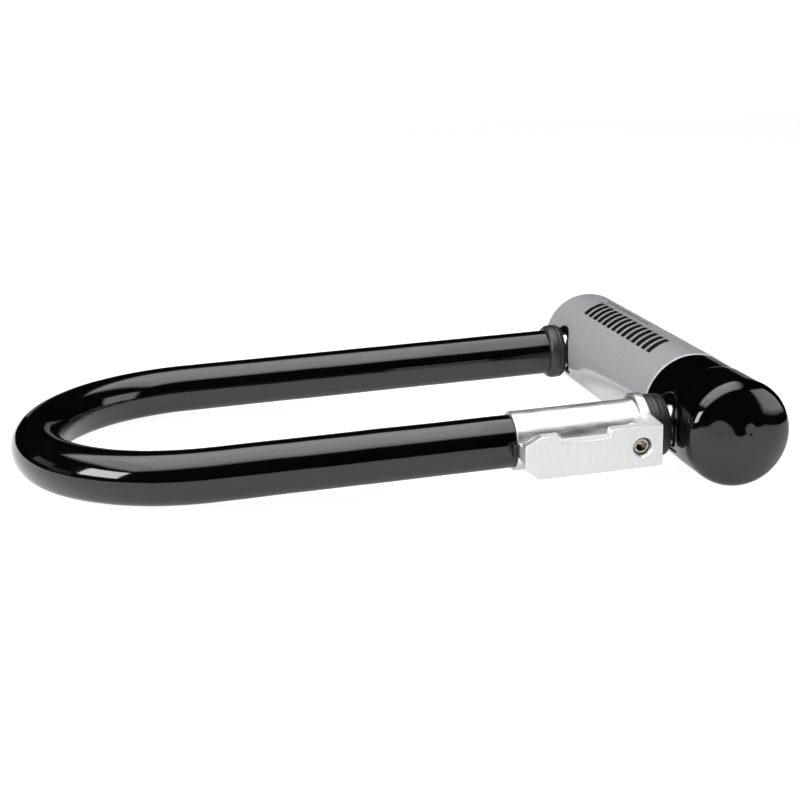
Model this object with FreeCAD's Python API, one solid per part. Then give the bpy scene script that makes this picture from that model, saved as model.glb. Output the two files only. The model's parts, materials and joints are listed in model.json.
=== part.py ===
import FreeCAD, Part
import math
import os

V = FreeCAD.Vector

# ---------------------------------------------------------------------------
# Bicycle U-lock: coated shackle, lock crossbar, aluminium frame-mount carriage.
# All lengths are millimetres. The parts are drawn in the lock's own plane:
#   Y is the crossbar's axis, the legs run along X, the bend is toward -X.
# At the end everything is tipped about Y so that the lock lies on a table on
# its crossbar and its bend, and moved so that the origin is the centre of the
# bounding box's base.
# ---------------------------------------------------------------------------

# shackle
LEG_SPACING = 98.35          # between the legs' centre lines
ROD_R = 6.5                  # 13 mm hardened rod
COAT_R = 7.9                 # outside of the vinyl coat
LEG_BEND_X = -152.69         # where the straight legs meet the bend
FOOT_END_X = 9.5             # how far the feet reach into the crossbar
FOOT_CHAMFER = 1.0
COAT_END_X = -18.4           # the coat stops under the collars
NOTCH_X0, NOTCH_X1 = -8.9, 0.9
NOTCH_BOTTOM = 47.6          # distance of the notch floor from the middle plane

# leg collars
COLLAR_R = 9.6
COLLAR_X0, COLLAR_X1 = -23.1, -17.1
COLLAR_ROUND = 1.1

# crossbar
BAR_R = 16.25                # outside of the covers
COVER_IN_R = 14.85
TUBE_R, TUBE_IN_R = 14.8, 12.0
TUBE_HALF = 60.0
SEAM_Y = -33.0               # joint between the grey and the black cover
SEAM_GAP = 0.15
BLACK_THIN_R = 16.1          # black cover between the seam and its small step
BLACK_STEP_Y = -49.2
NEAR_SHOULDER_Y, FAR_SHOULDER_Y = -64.5, 65.3
SHOULDER_R, CROWN_R = 5.5, 24.0              # each end is a tight shoulder and a flatter crown
COVER_T = BAR_R - COVER_IN_R
NEAR_COVER_HOLE_R = 9.1
FAR_COVER_HOLE_R = 8.75
TUBE_FOOT_HOLE_R = 7.2
KEY_HOLE_TUBE_R = 8.65
KEY_HOLE_COVER_R = 10.05

# bolt guides inside the tube
GUIDE_R = 11.98
GUIDE_Y0, GUIDE_Y1 = 14.0, 58.0
GUIDE_FOOT_HOLE_R = 6.85
GUIDE_FOOT_HOLE_X = 10.3
GUIDE_PIN_R, GUIDE_PIN_X, GUIDE_PIN_Y, GUIDE_PIN_HALF = 1.5, 6.0, 26.0, 12.6

# deadbolts and their drive
BOLT_R, BOLT_X = 4.5, -4.0
BOLT_TIP_Y = 42.2            # tip when drawn back
BOLT_STROKE = 5.0            # for a quarter turn of the key
BOLT_HEAD_Y0 = 13.2
TAIL_Y0, TAIL_HALF_Z = 2.9, 3.0
TAIL_X0, TAIL_X1 = -7.0, -3.3
PIN_R, PIN_ORBIT = 1.0, 4.3
SLOT_HALF = 1.06
CAM_R, CAM_X0, CAM_X1 = 11.2, -2.9, 0.0
CAM_SQUARE = 4.2

# lock cylinder
SHELL_R, SHELL_X0, SHELL_X1 = 8.6, 1.0, 12.95
CORE_R, CORE_CLEARANCE = 6.5, 0.05
CORE_IN_R = 5.3
DISC_R, DISC_T, SPACER_T, DISC_PITCH, DISC_COUNT = 5.25, 1.0, 0.4, 1.45, 5
DISC_X0 = 2.45
CYL_PIN_R, CYL_PIN_X, CYL_PIN_Y = 1.2, 5.0, 9.2

# keyway surround and its turning cover
BEZEL_R, BEZEL_IN_R, BEZEL_LIP_R = 9.95, 6.08, 5.4
BEZEL_TOP_R = 16.33          # its rim follows the cover's round
LID_R, LID_X0, LID_X1, LID_TOP = 6.0, 13.27, 14.75, 15.1

# carriage on the near leg
CAR_X0, CAR_X1 = -64.4, -23.3
CAR_R, CAR_BORE_R = 8.8, 7.95
FLANGE_R, FLANGE_X0 = 10.4, -26.5
PLATE_FACE, PLATE_T = 16.9, 3.3
PLATE_HALF = 6.4
NOTCH_FLOOR = 3.95
WEB_HALF = 2.2
SCREW_X, SCREW_R, SCREW_HOLE_R = -29.5, 2.6, 2.65
SCREW_RECESS = 1.3
SHIM_OUT, SHIM_HALF = 9.4, 1.9
SWIVEL_DEG = 3.0             # the carriage hangs a little below the legs' plane

# resting attitude
REACH = -LEG_BEND_X + LEG_SPACING / 2.0
TILT_DEG = math.degrees(math.asin((BAR_R - COAT_R) / REACH))

HALF = LEG_SPACING / 2.0


def cyl_x(r, x0, x1, y=0.0, z=0.0):
    return Part.makeCylinder(r, x1 - x0, V(x0, y, z), V(1, 0, 0))


def cyl_y(r, y0, y1, x=0.0, z=0.0):
    return Part.makeCylinder(r, y1 - y0, V(x, y0, z), V(0, 1, 0))


def cyl_z(r, z0, z1, x=0.0, y=0.0):
    return Part.makeCylinder(r, z1 - z0, V(x, y, z0), V(0, 0, 1))


def box(x0, x1, y0, y1, z0, z1):
    return Part.makeBox(x1 - x0, y1 - y0, z1 - z0, V(x0, y0, z0))


def prism_xz(points, y0, y1):
    pts = [V(x, y0, z) for x, z in points]
    face = Part.Face(Part.makePolygon(pts + [pts[0]]))
    return face.extrude(V(0, y1 - y0, 0))


def hexagon_y(af, x, z, y0, y1):
    r = af / math.sqrt(3.0)
    pts = [(x + r * math.cos(math.radians(60 * k)), z + r * math.sin(math.radians(60 * k))) for k in range(6)]
    return prism_xz(pts, y0, y1)


def hexagon_x(af, y, z, x0, x1):
    r = af / math.sqrt(3.0)
    pts = [V(x0, y + r * math.cos(math.radians(60 * k)), z + r * math.sin(math.radians(60 * k))) for k in range(6)]
    return Part.Face(Part.makePolygon(pts + [pts[0]])).extrude(V(x1 - x0, 0, 0))


def u_bar(r, leg_end_x):
    parts = []
    for side in (-1, 1):
        parts.append(cyl_x(r, LEG_BEND_X, leg_end_x, side * HALF))
    bend = Part.makeTorus(HALF, r, V(0, 0, 0), V(0, 0, 1), 0, 360, 180)
    bend.rotate(V(0, 0, 0), V(0, 0, 1), 90)
    bend.translate(V(LEG_BEND_X, 0, 0))
    shape = parts[0].fuse([bend, parts[1]]).removeSplitter()
    return shape


def solid(shape):
    s = shape.Solids
    return s[0] if len(s) == 1 else shape


nodes = {}

# --- shackle ---------------------------------------------------------------
rod = u_bar(ROD_R, FOOT_END_X - FOOT_CHAMFER)
for side in (-1, 1):
    tip = Part.makeCone(ROD_R, ROD_R - FOOT_CHAMFER, FOOT_CHAMFER, V(FOOT_END_X - FOOT_CHAMFER, side * HALF, 0), V(1, 0, 0))
    rod = rod.fuse(tip)
rod = rod.removeSplitter()
for side in (-1, 1):
    y_in, y_floor = side * (HALF - ROD_R - 1.0), side * NOTCH_BOTTOM
    rod = rod.cut(box(NOTCH_X0, NOTCH_X1, min(y_in, y_floor), max(y_in, y_floor), -8, 8))
nodes["shackle_rod"] = solid(rod)

nodes["shackle_vinyl_coat"] = solid(u_bar(COAT_R, COAT_END_X).cut(u_bar(ROD_R, COAT_END_X)))


def collar(y):
    k = COLLAR_ROUND
    c = k * (1.0 - math.sqrt(0.5))
    a = V(COLLAR_X0, COAT_R, 0)
    b = V(COLLAR_X0, COLLAR_R - k, 0)
    bm = V(COLLAR_X0 + c, COLLAR_R - c, 0)
    d = V(COLLAR_X0 + k, COLLAR_R, 0)
    e = V(COLLAR_X1 - k, COLLAR_R, 0)
    em = V(COLLAR_X1 - c, COLLAR_R - c, 0)
    f = V(COLLAR_X1, COLLAR_R - k, 0)
    g = V(COLLAR_X1, ROD_R, 0)
    h = V(COAT_END_X, ROD_R, 0)
    i = V(COAT_END_X, COAT_R, 0)
    edges = [Part.makeLine(a, b), Part.Arc(b, bm, d).toShape(), Part.makeLine(d, e), Part.Arc(e, em, f).toShape(),
             Part.makeLine(f, g), Part.makeLine(g, h), Part.makeLine(h, i), Part.makeLine(i, a)]
    ring = Part.Face(Part.Wire(edges)).revolve(V(0, 0, 0), V(1, 0, 0), 360)
    ring.translate(V(0, y, 0))
    return solid(ring)


nodes["near_leg_collar"] = collar(-HALF)
nodes["far_leg_collar"] = collar(HALF)

# --- carriage --------------------------------------------------------------
outline = [(-64.8, -3.3), (-60.8, -PLATE_HALF), (CAR_X1, -PLATE_HALF), (CAR_X1, PLATE_HALF), (-38.9, PLATE_HALF),
           (-39.6, NOTCH_FLOOR), (-53.9, NOTCH_FLOOR), (-54.1, PLATE_HALF), (-59.9, PLATE_HALF), (-64.8, 4.05)]
bracket = cyl_x(CAR_R, CAR_X0, CAR_X1)
bracket = bracket.fuse(cyl_x(FLANGE_R, FLANGE_X0, CAR_X1))
bracket = bracket.fuse(box(FLANGE_X0, CAR_X1, -PLATE_FACE + 0.5, 0, -PLATE_HALF, PLATE_HALF))
bracket = bracket.fuse(prism_xz(outline, -PLATE_FACE, -PLATE_FACE + PLATE_T))
bracket = bracket.fuse(box(CAR_X0, CAR_X1, -PLATE_FACE + 0.5, -CAR_BORE_R, -WEB_HALF, WEB_HALF))
bracket = bracket.fuse(cyl_y(4.3, -PLATE_FACE + 0.5, -5.0, SCREW_X))
bracket = bracket.removeSplitter()
bracket = bracket.cut(cyl_x(CAR_BORE_R, CAR_X0 - 1, CAR_X1 + 1))
bracket = bracket.cut(box(CAR_X0 - 1, -25.0, -SHIM_OUT - 0.1, -5.0, -SHIM_HALF - 0.1, SHIM_HALF + 0.1))
bracket = bracket.cut(cyl_y(SCREW_HOLE_R, -PLATE_FACE - 1, -5.0, SCREW_X))
bracket = solid(bracket)

shim = box(-66.0, -25.3, -SHIM_OUT, -5.0, -SHIM_HALF, SHIM_HALF).cut(cyl_x(CAR_BORE_R - 0.01, -70, -20))
shim = solid(shim)

screw = cyl_y(SCREW_R, -PLATE_FACE + SCREW_RECESS, -SHIM_OUT - 0.65, SCREW_X)
screw = screw.fuse(Part.makeCone(SCREW_R, SCREW_R - 0.6, 0.6, V(SCREW_X, -SHIM_OUT - 0.65, 0), V(0, 1, 0)))
screw = screw.cut(hexagon_y(3.0, SCREW_X, 0, -PLATE_FACE, -PLATE_FACE + SCREW_RECESS + 2.8))
screw = solid(screw)

for name, shape in (("carriage_bracket", bracket), ("carriage_clamp_shim", shim), ("carriage_set_screw", screw)):
    shape = shape.copy()
    shape.rotate(V(0, 0, 0), V(1, 0, 0), SWIVEL_DEG)
    shape.translate(V(0, -HALF, 0))
    nodes[name] = shape

# --- crossbar: tube and covers ----------------------------------------------
tube = cyl_y(TUBE_R, -TUBE_HALF, TUBE_HALF).cut(cyl_y(TUBE_IN_R, -TUBE_HALF - 1, TUBE_HALF + 1))
for side in (-1, 1):
    tube = tube.cut(cyl_x(TUBE_FOOT_HOLE_R, -20, 0, side * HALF))
    tube = tube.cut(cyl_z(GUIDE_PIN_R, -20, 20, GUIDE_PIN_X, side * GUIDE_PIN_Y))
tube = tube.cut(cyl_x(KEY_HOLE_TUBE_R, 0, 20))
tube = tube.cut(cyl_z(CYL_PIN_R, -20, 20, CYL_PIN_X, CYL_PIN_Y))
nodes["crossbar_tube"] = solid(tube)


def head(shoulder_y, r, shoulder_r, crown_r, sign):
    # shoulder arc, then a crown centred on the axis, down to the pole
    h = math.sqrt((crown_r - shoulder_r) ** 2 - (r - shoulder_r) ** 2)
    a0 = math.atan2(r - shoulder_r, h)

    def on_shoulder(t):
        return V(r - shoulder_r + shoulder_r * math.cos(t), shoulder_y + sign * shoulder_r * math.sin(t), 0)

    def on_crown(a):
        return V(crown_r * math.sin(a), shoulder_y + sign * (crown_r * math.cos(a) - h), 0)

    t1 = math.pi / 2 - a0
    pole = V(0, shoulder_y + sign * (crown_r - h), 0)
    edges = [Part.Arc(on_shoulder(0), on_shoulder(t1 / 2), on_shoulder(t1)).toShape(),
             Part.Arc(on_shoulder(t1), on_crown(a0 / 2), pole).toShape()]
    return edges, pole


def revolved(edges):
    face = Part.Face(Part.Wire(Part.__sortEdges__(edges)))
    return solid(face.revolve(V(0, 0, 0), V(0, 1, 0), 360))


y0 = SEAM_Y + SEAM_GAP
outer, pole = head(FAR_SHOULDER_Y, BAR_R, SHOULDER_R, CROWN_R, 1)
inner, inner_pole = head(FAR_SHOULDER_Y, COVER_IN_R, SHOULDER_R - COVER_T, CROWN_R - COVER_T, 1)
grey = revolved([
    Part.makeLine(V(COVER_IN_R, y0, 0), V(BAR_R - 0.35, y0, 0)),
    Part.makeLine(V(BAR_R - 0.35, y0, 0), V(BAR_R, y0 + 0.35, 0)),
    Part.makeLine(V(BAR_R, y0 + 0.35, 0), V(BAR_R, FAR_SHOULDER_Y, 0)),
    Part.makeLine(pole, inner_pole),
    Part.makeLine(V(COVER_IN_R, FAR_SHOULDER_Y, 0), V(COVER_IN_R, y0, 0)),
] + outer + inner)
grey = grey.cut(cyl_x(FAR_COVER_HOLE_R, -20, 0, HALF))
grey = grey.cut(cyl_x(KEY_HOLE_COVER_R, 0, 20))
nodes["crossbar_grey_cover"] = solid(grey)

y0 = SEAM_Y - SEAM_GAP
outer, pole = head(NEAR_SHOULDER_Y, BAR_R, SHOULDER_R, CROWN_R, -1)
inner, inner_pole = head(NEAR_SHOULDER_Y, COVER_IN_R, SHOULDER_R - COVER_T, CROWN_R - COVER_T, -1)
black = revolved([
    Part.makeLine(V(COVER_IN_R, y0, 0), V(BLACK_THIN_R - 0.4, y0, 0)),
    Part.makeLine(V(BLACK_THIN_R - 0.4, y0, 0), V(BLACK_THIN_R, y0 - 0.5, 0)),
    Part.makeLine(V(BLACK_THIN_R, y0 - 0.5, 0), V(BLACK_THIN_R, BLACK_STEP_Y, 0)),
    Part.makeLine(V(BLACK_THIN_R, BLACK_STEP_Y, 0), V(BAR_R, BLACK_STEP_Y - 1.2, 0)),
    Part.makeLine(V(BAR_R, BLACK_STEP_Y - 1.2, 0), V(BAR_R, NEAR_SHOULDER_Y, 0)),
    Part.makeLine(pole, inner_pole),
    Part.makeLine(V(COVER_IN_R, NEAR_SHOULDER_Y, 0), V(COVER_IN_R, y0, 0)),
] + outer + inner)
black = black.cut(cyl_x(NEAR_COVER_HOLE_R, -20, 0, -HALF))
nodes["crossbar_black_end_cover"] = solid(black)


def end_plug(sign, shoulder):
    s = sign
    gap = COVER_T + 0.05
    dome, pole = head(shoulder, TUBE_R, SHOULDER_R - gap, CROWN_R - gap, s)
    return revolved([
        Part.makeLine(V(0, s * 58.1, 0), V(TUBE_IN_R - 0.05, s * 58.1, 0)),
        Part.makeLine(V(TUBE_IN_R - 0.05, s * 58.1, 0), V(TUBE_IN_R - 0.05, s * TUBE_HALF, 0)),
        Part.makeLine(V(TUBE_IN_R - 0.05, s * TUBE_HALF, 0), V(TUBE_R, s * TUBE_HALF, 0)),
        Part.makeLine(V(TUBE_R, s * TUBE_HALF, 0), V(TUBE_R, shoulder, 0)),
        Part.makeLine(pole, V(0, s * 58.1, 0)),
    ] + dome)


nodes["near_end_plug"] = end_plug(-1, NEAR_SHOULDER_Y)
nodes["far_end_plug"] = end_plug(1, FAR_SHOULDER_Y)

for name, y, r_out in (("near_foot_grommet", -HALF, NEAR_COVER_HOLE_R - 0.02), ("far_foot_grommet", HALF, FAR_COVER_HOLE_R - 0.02)):
    ring = cyl_x(r_out, -18, -8, y).cut(cyl_x(7.3, -19, 0, y))
    ring = ring.common(cyl_y(15.7, y - 12, y + 12)).cut(cyl_y(TUBE_R, y - 12, y + 12))
    nodes[name] = solid(ring)

# --- crossbar: inside -------------------------------------------------------
for name, side in (("near_bolt_guide", -1), ("far_bolt_guide", 1)):
    lo, hi = sorted((side * GUIDE_Y0, side * GUIDE_Y1))
    g = cyl_y(GUIDE_R, lo, hi)
    g = g.cut(cyl_x(GUIDE_FOOT_HOLE_R, -14, GUIDE_FOOT_HOLE_X, side * HALF))
    c0, c1 = sorted((side * (GUIDE_Y0 - 1), side * 56.0))
    g = g.cut(cyl_y(BOLT_R + 0.05, c0, c1, BOLT_X))
    g = g.cut(cyl_z(GUIDE_PIN_R, -14, 14, GUIDE_PIN_X, side * GUIDE_PIN_Y))
    nodes[name] = solid(g)

nodes["guide_roll_pins"] = Part.makeCompound([
    solid(cyl_z(GUIDE_PIN_R, -GUIDE_PIN_HALF, GUIDE_PIN_HALF, GUIDE_PIN_X, s * GUIDE_PIN_Y).cut(
        cyl_z(0.7, -15, 15, GUIDE_PIN_X, s * GUIDE_PIN_Y))) for s in (-1, 1)])

shell = cyl_x(SHELL_R, SHELL_X0, SHELL_X1)
shell = shell.cut(cyl_x(CORE_R + CORE_CLEARANCE, SHELL_X0 - 1, 12.25))
shell = shell.cut(cyl_x(4.66, 11.55, 13.55))
shell = shell.cut(box(2.5, 11.55, -7.5, -6.0, -0.75, 0.75))
shell = shell.cut(cyl_z(CYL_PIN_R, -20, 20, CYL_PIN_X, CYL_PIN_Y))
nodes["cylinder_shell"] = solid(shell)

nodes["cylinder_roll_pin"] = solid(cyl_z(CYL_PIN_R, -13.2, 13.2, CYL_PIN_X, CYL_PIN_Y).cut(
    cyl_z(0.55, -15, 15, CYL_PIN_X, CYL_PIN_Y)))

bezel = cyl_x(BEZEL_R, 8.0, 17.0).cut(cyl_x(BEZEL_IN_R, 0, 14.85)).cut(cyl_x(BEZEL_LIP_R, 0, 20))
bezel = bezel.common(cyl_y(BEZEL_TOP_R, -14, 14))
bezel = bezel.cut(cyl_x(SHELL_R + 0.06, 0, SHELL_X1 + 0.05)).cut(cyl_y(TUBE_R, -12, 12))
nodes["keyway_bezel"] = solid(bezel)

nodes["lid_spring_washer"] = solid(cyl_x(5.9, SHELL_X1 + 0.02, SHELL_X1 + 0.28).cut(cyl_x(4.9, SHELL_X1 - 1, SHELL_X1 + 1)))

lid = cyl_x(LID_R, LID_X0, LID_X1)
lid = lid.fuse(cyl_x(BEZEL_LIP_R - 0.08, LID_X1 - 0.1, LID_TOP))
lid = lid.cut(box(LID_X0 - 1, 18.0, -1.3, 1.3, -3.9, 3.9))
lid = lid.cut(box(14.4, 18.0, 3.1, 4.2, -2.6, 2.6)).cut(box(14.4, 18.0, -4.2, -3.1, -2.6, 2.6))
lid.rotate(V(0, 0, 0), V(1, 0, 0), 90)
nodes["keyway_lid"] = solid(lid)

# --- lock core --------------------------------------------------------------
core = cyl_x(CORE_R, 1.0, 12.15).fuse(cyl_x(4.6, 12.05, 12.85))
core = core.cut(cyl_x(CORE_IN_R, 2.4, 11.15))
core = core.fuse(box(CAM_X0, 1.1, -CAM_SQUARE / 2, CAM_SQUARE / 2, -CAM_SQUARE / 2, CAM_SQUARE / 2))
core = core.cut(box(10.5, 13.5, -1.1, 1.1, -3.6, 3.6))
core = core.cut(box(2.8, 10.75, -0.75, 0.75, 4.8, 7.0))
core = core.cut(cyl_x(1.25, CAM_X0 - 1, 1.2))
nodes["cylinder_core"] = solid(core)

discs, spacers = [], []
for k in range(DISC_COUNT):
    x = DISC_X0 + k * DISC_PITCH
    d = cyl_x(DISC_R, x, x + DISC_T).cut(box(x - 1, x + 2, -1.6, 1.6, -3.4, 3.4))
    d = d.cut(box(x - 1, x + 2, -0.8, 0.8, 4.55, 6.0))
    discs.append(solid(d))
    s = cyl_x(DISC_R, x + DISC_T + 0.02, x + DISC_T + 0.02 + SPACER_T).cut(cyl_x(3.9, x, x + 3))
    s = s.cut(box(x - 1, x + 3, -0.8, 0.8, 4.55, 6.0))
    spacers.append(solid(s))
nodes["lock_discs"] = Part.makeCompound(discs)
nodes["disc_spacers"] = Part.makeCompound(spacers)

guard = cyl_x(DISC_R, 9.8, 11.05).cut(box(9, 12, -1.1, 1.1, -3.5, 3.5)).cut(box(9, 12, -0.8, 0.8, 4.55, 6.0))
nodes["drill_guard_disc"] = solid(guard)
nodes["sidebar"] = box(2.9, 10.65, -0.6, 0.6, 4.75, 6.35)


def spiral_slot(start_deg):
    def at(phi):
        r = PIN_ORBIT + BOLT_STROKE * phi / (math.pi / 2)
        a = math.radians(start_deg) - phi
        return r * math.cos(a), r * math.sin(a)

    def tangent(phi):
        e = 1e-4
        p, q = at(phi - e), at(phi + e)
        n = math.hypot(q[0] - p[0], q[1] - p[1])
        return (q[0] - p[0]) / n, (q[1] - p[1]) / n

    a0, a1 = math.radians(-1.0), math.radians(91.0)
    left, right = [], []
    n = 14
    for k in range(n + 1):
        phi = a0 + (a1 - a0) * k / n
        (px, py), (tx, ty) = at(phi), tangent(phi)
        left.append(V(CAM_X0 - 1, px - ty * SLOT_HALF, py + tx * SLOT_HALF))
        right.append(V(CAM_X0 - 1, px + ty * SLOT_HALF, py - tx * SLOT_HALF))
    (ex, ey), (tx, ty) = at(a1), tangent(a1)
    end_mid = V(CAM_X0 - 1, ex + tx * SLOT_HALF, ey + ty * SLOT_HALF)
    (sx, sy), (ux, uy) = at(a0), tangent(a0)
    start_mid = V(CAM_X0 - 1, sx - ux * SLOT_HALF, sy - uy * SLOT_HALF)
    c1, c2 = Part.BSplineCurve(), Part.BSplineCurve()
    c1.interpolate(left)
    c2.interpolate(right)
    wire = Part.Wire([c1.toShape(), Part.Arc(left[-1], end_mid, right[-1]).toShape(),
                      c2.toShape(), Part.Arc(right[0], start_mid, left[0]).toShape()])
    return Part.Face(wire).extrude(V(CAM_X1 - CAM_X0 + 2, 0, 0))


cam = cyl_x(CAM_R, CAM_X0, CAM_X1)
cam = cam.cut(box(CAM_X0 - 1, CAM_X1 + 1, -CAM_SQUARE / 2, CAM_SQUARE / 2, -CAM_SQUARE / 2, CAM_SQUARE / 2))
cam = cam.cut(spiral_slot(180.0)).cut(spiral_slot(0.0))
nodes["cam_disc"] = solid(cam)

cam_screw = cyl_x(2.35, CAM_X0 - 1.3, CAM_X0).fuse(cyl_x(1.2, CAM_X0 - 0.5, 0.6))
cam_screw = cam_screw.cut(hexagon_x(1.5, 0, 0, CAM_X0 - 2, CAM_X0 - 0.5))
nodes["cam_screw"] = solid(cam_screw)

# --- deadbolts --------------------------------------------------------------
for prefix, side in (("near", -1), ("far", 1)):
    a, b = sorted((side * BOLT_HEAD_Y0, side * (BOLT_TIP_Y - 0.6)))
    bolt = cyl_y(BOLT_R, a, b, BOLT_X)
    bolt = bolt.fuse(Part.makeCone(BOLT_R, BOLT_R - 0.6, 0.6, V(BOLT_X, side * (BOLT_TIP_Y - 0.6), 0), V(0, side, 0)))
    t0, t1 = sorted((side * TAIL_Y0, side * (BOLT_HEAD_Y0 + 1.0)))
    bolt = bolt.fuse(box(TAIL_X0, TAIL_X1, t0, t1, -TAIL_HALF_Z, TAIL_HALF_Z)).removeSplitter()
    bolt = bolt.cut(cyl_x(PIN_R, -6.0, 0, side * PIN_ORBIT))
    nodes[prefix + "_deadbolt"] = solid(bolt)
    nodes[prefix + "_bolt_pin"] = cyl_x(PIN_R, -6.0, -0.3, side * PIN_ORBIT)

# --- resting attitude and origin --------------------------------------------
placed = {}
for name, shape in nodes.items():
    s = shape.copy()
    s.rotate(V(0, 0, 0), V(0, 1, 0), -TILT_DEG)
    placed[name] = s

boxes = [s.optimalBoundingBox(False, False) for s in placed.values()]
x_mid = (min(b.XMin for b in boxes) + max(b.XMax for b in boxes)) / 2.0
y_mid = (min(b.YMin for b in boxes) + max(b.YMax for b in boxes)) / 2.0
z_low = min(b.ZMin for b in boxes)

os.makedirs("parts", exist_ok=True)
for name, s in placed.items():
    s.translate(V(-x_mid, -y_mid, -z_low))
    s.exportStep("parts/%s.step" % name)
    print("%-26s solids %d valid %s volume %.1f" % (name, len(s.Solids), s.isValid(), s.Volume))
print("shift %.6f %.6f %.6f tilt %.6f" % (-x_mid, -y_mid, -z_low, TILT_DEG))
b = [s.optimalBoundingBox(False, False) for s in placed.values()]
print("box", [round(v, 3) for v in (min(i.XMin for i in b), max(i.XMax for i in b), min(i.YMin for i in b),
                                    max(i.YMax for i in b), min(i.ZMin for i in b), max(i.ZMax for i in b))])
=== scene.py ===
import json
import math

import bmesh
import bpy
import numpy as np
from mathutils import Matrix, Vector, noise


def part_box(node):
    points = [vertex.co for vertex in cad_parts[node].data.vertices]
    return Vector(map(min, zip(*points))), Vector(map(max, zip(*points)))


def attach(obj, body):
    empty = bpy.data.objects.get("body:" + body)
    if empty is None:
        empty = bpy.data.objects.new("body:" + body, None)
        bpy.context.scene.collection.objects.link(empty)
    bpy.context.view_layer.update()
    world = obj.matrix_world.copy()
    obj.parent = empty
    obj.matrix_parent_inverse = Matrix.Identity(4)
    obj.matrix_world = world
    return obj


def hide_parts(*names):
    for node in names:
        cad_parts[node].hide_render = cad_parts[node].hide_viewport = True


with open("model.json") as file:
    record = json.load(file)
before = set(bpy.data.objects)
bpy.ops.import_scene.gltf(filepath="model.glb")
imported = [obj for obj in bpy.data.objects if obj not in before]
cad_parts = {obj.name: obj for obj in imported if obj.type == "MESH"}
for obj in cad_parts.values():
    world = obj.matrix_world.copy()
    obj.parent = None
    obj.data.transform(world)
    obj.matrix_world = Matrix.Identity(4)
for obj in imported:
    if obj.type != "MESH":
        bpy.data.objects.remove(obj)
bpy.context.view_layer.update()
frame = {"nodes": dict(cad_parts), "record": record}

# ---------------------------------------------------------------------------
# The lock's own frame, in millimetres: Y is the crossbar's axis, the legs run
# along X, the bend is toward -X. The row frame tips it about Y onto the table.
# ---------------------------------------------------------------------------
BAR_R, COAT_R, ROD_R = 16.25, 7.9, 6.5
HALF = 98.35 / 2
LEG_BEND_X = -152.69
TILT = -math.asin((BAR_R - COAT_R) / (-LEG_BEND_X + HALF))

tube_lo, tube_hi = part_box("crossbar_tube")
coat_lo, coat_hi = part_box("shackle_vinyl_coat")
ORIGIN = Vector(((tube_lo.x + tube_hi.x) / 2, (coat_lo.y + coat_hi.y) / 2, (tube_lo.z + tube_hi.z) / 2))
TO_ROW = Matrix.Translation(ORIGIN) @ Matrix.Rotation(TILT, 4, "Y") @ Matrix.Scale(0.001, 4)
TURN = Matrix.Rotation(TILT, 3, "Y")
SWIVEL = Matrix.Translation((0, -HALF, 0)) @ Matrix.Rotation(math.radians(3.0), 4, "X")
scene = bpy.context.scene


# ---------------------------------------------------------------------------
# mesh helpers
# ---------------------------------------------------------------------------
def raw(name, verts, faces):
    me = bpy.data.meshes.new(name)
    me.from_pydata([tuple(map(float, v)) for v in verts], [], [tuple(f) for f in faces])
    me.update()
    o = bpy.data.objects.new(name, me)
    scene.collection.objects.link(o)
    return o


def fix_normals(o):
    bm = bmesh.new()
    bm.from_mesh(o.data)
    bmesh.ops.remove_doubles(bm, verts=bm.verts, dist=1e-5)
    bmesh.ops.recalc_face_normals(bm, faces=bm.faces)
    bm.to_mesh(o.data)
    bm.free()
    return o


def grid_faces(rows, cols, wrap_cols=True, wrap_rows=False, base=0):
    out = []
    for i in range(rows if wrap_rows else rows - 1):
        for j in range(cols if wrap_cols else cols - 1):
            a, b = i * cols + j, i * cols + (j + 1) % cols
            c, d = ((i + 1) % rows) * cols + (j + 1) % cols, ((i + 1) % rows) * cols + j
            out.append((base + a, base + b, base + c, base + d))
    return out


def revolve(name, profile, n=96, axis="X", centre=(0, 0, 0), closed=False, wobble=None):
    """profile: (along, radius) pairs. Open ends on the axis are closed by a fan."""
    verts = []
    for a, r in profile:
        for k in range(n):
            t = 2 * math.pi * k / n
            rr = r + (wobble(a, t) if wobble and r > 1e-6 else 0.0)
            u, v = rr * math.cos(t), rr * math.sin(t)
            p = {"X": (a, u, v), "Y": (v, a, u), "Z": (u, v, a)}[axis]
            verts.append((p[0] + centre[0], p[1] + centre[1], p[2] + centre[2]))
    faces = grid_faces(len(profile), n, True, closed)
    o = raw(name, verts, faces)
    fix_normals(o)
    bm = bmesh.new()
    bm.from_mesh(o.data)
    bmesh.ops.dissolve_degenerate(bm, dist=1e-5, edges=bm.edges)
    bmesh.ops.recalc_face_normals(bm, faces=bm.faces)
    bm.to_mesh(o.data)
    bm.free()
    return o


def arc(cx, cy, r, a0, a1, n):
    return [(cx + r * math.cos(math.radians(a0 + (a1 - a0) * k / n)),
             cy + r * math.sin(math.radians(a0 + (a1 - a0) * k / n))) for k in range(n + 1)]


def boolean(a, b, op, keep=False):
    m = a.modifiers.new("cut", "BOOLEAN")
    m.operation, m.solver, m.object = op, "EXACT", b
    dg = bpy.context.evaluated_depsgraph_get()
    me = bpy.data.meshes.new_from_object(a.evaluated_get(dg))
    a.modifiers.clear()
    old = a.data
    a.data = me
    bpy.data.meshes.remove(old)
    if not keep:
        bpy.data.objects.remove(b)
    return a


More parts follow.
